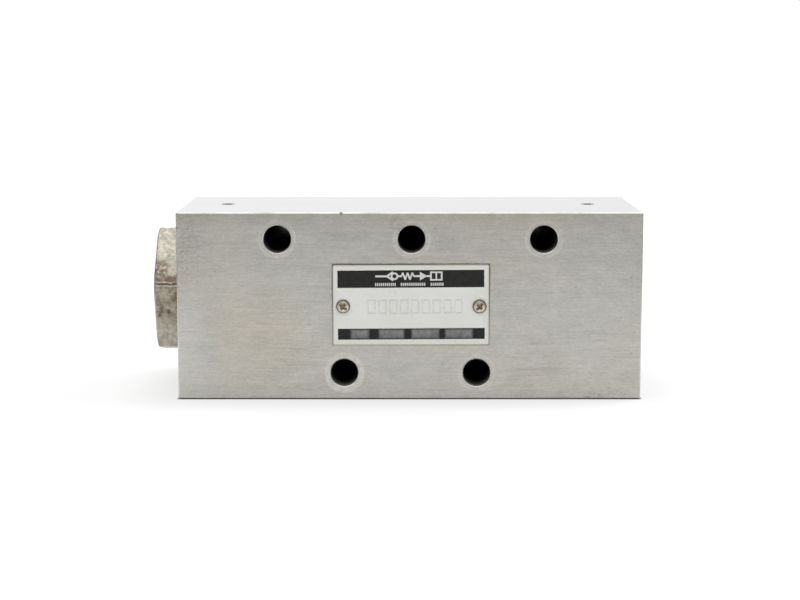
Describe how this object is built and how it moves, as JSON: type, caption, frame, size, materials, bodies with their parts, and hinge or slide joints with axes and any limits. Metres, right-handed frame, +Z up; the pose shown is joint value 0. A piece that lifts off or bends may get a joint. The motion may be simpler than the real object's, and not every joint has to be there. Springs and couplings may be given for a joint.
{
  "type": "hydraulic monoblock check valve",
  "caption": "Manifold-mounted pilot-operated check valve in a one-piece ground steel block, with a hexagon end plug, mounting bolt holes and a screwed-on nameplate.",
  "frame": {"origin": "centre of the mounting (gasket) face, on the back of the block", "axes": "+X along the block from the hexagon plug's end to the pilot end, +Y out of the mounting face, +Z up; the nameplate looks along -Y"},
  "size_m": [0.1879, 0.0734, 0.072],
  "materials": {
    "ground_steel": "ground flat, satin, fine lines along the length",
    "plug_steel": "zinc plating worn and stained",
    "hardened_steel": "hardened and ground",
    "blackened_steel": "black oxide",
    "spring_steel": "oiled music wire",
    "orifice_brass": "turned",
    "nameplate_aluminium": "satin, black printed bands",
    "screw_steel": "plated, slightly tarnished",
    "seal_rubber": "smooth nitrile",
    "backup_plastic": "natural PTFE"
  },
  "bodies": {
    "housing": {"valve_body": "ground_steel", "end_plug": "plug_steel", "end_plug_o_ring": "seal_rubber", "poppet_cage": "hardened_steel", "cage_o_ring": "seal_rubber", "cage_backup_ring": "backup_plastic", "poppet_spring": "spring_steel", "valve_seat": "hardened_steel", "seat_o_ring": "seal_rubber", "rod_guide": "hardened_steel", "rod_guide_o_ring": "seal_rubber", "rod_guide_backup_ring": "backup_plastic", "rod_seal": "seal_rubber", "piston_return_spring": "spring_steel", "pilot_end_plug": "blackened_steel", "pilot_end_plug_o_ring": "seal_rubber", "pilot_orifice": "orifice_brass", "cross_drilling_plugs": "hardened_steel", "cross_drilling_balls": "hardened_steel", "nameplate": "nameplate_aluminium", "nameplate_screws": "screw_steel", "port_a_o_ring": "seal_rubber", "port_b_o_ring": "seal_rubber", "pilot_port_o_ring": "seal_rubber", "drain_port_o_ring": "seal_rubber"},
    "piston_group": {"pilot_piston": "hardened_steel", "push_rod": "hardened_steel", "piston_seal": "seal_rubber", "piston_backup_rings": "backup_plastic"},
    "poppet_group": {"poppet": "hardened_steel"}
  },
  "joints": [
    {"name": "pilot_stroke", "type": "slide", "parent": "housing", "child": "piston_group", "axis": [-1, 0, 0], "range_m": [0, 0.006], "stiffness_N_per_m": 1500, "springref_m": -0.006, "deforming": ["piston_return_spring"]},
    {"name": "poppet_lift", "type": "slide", "parent": "piston_group", "child": "poppet_group", "axis": [-1, 0, 0], "range_m": [0, 0.006], "stiffness_N_per_m": 1200, "springref_m": -0.01, "deforming": ["poppet_spring"]}
  ]
}
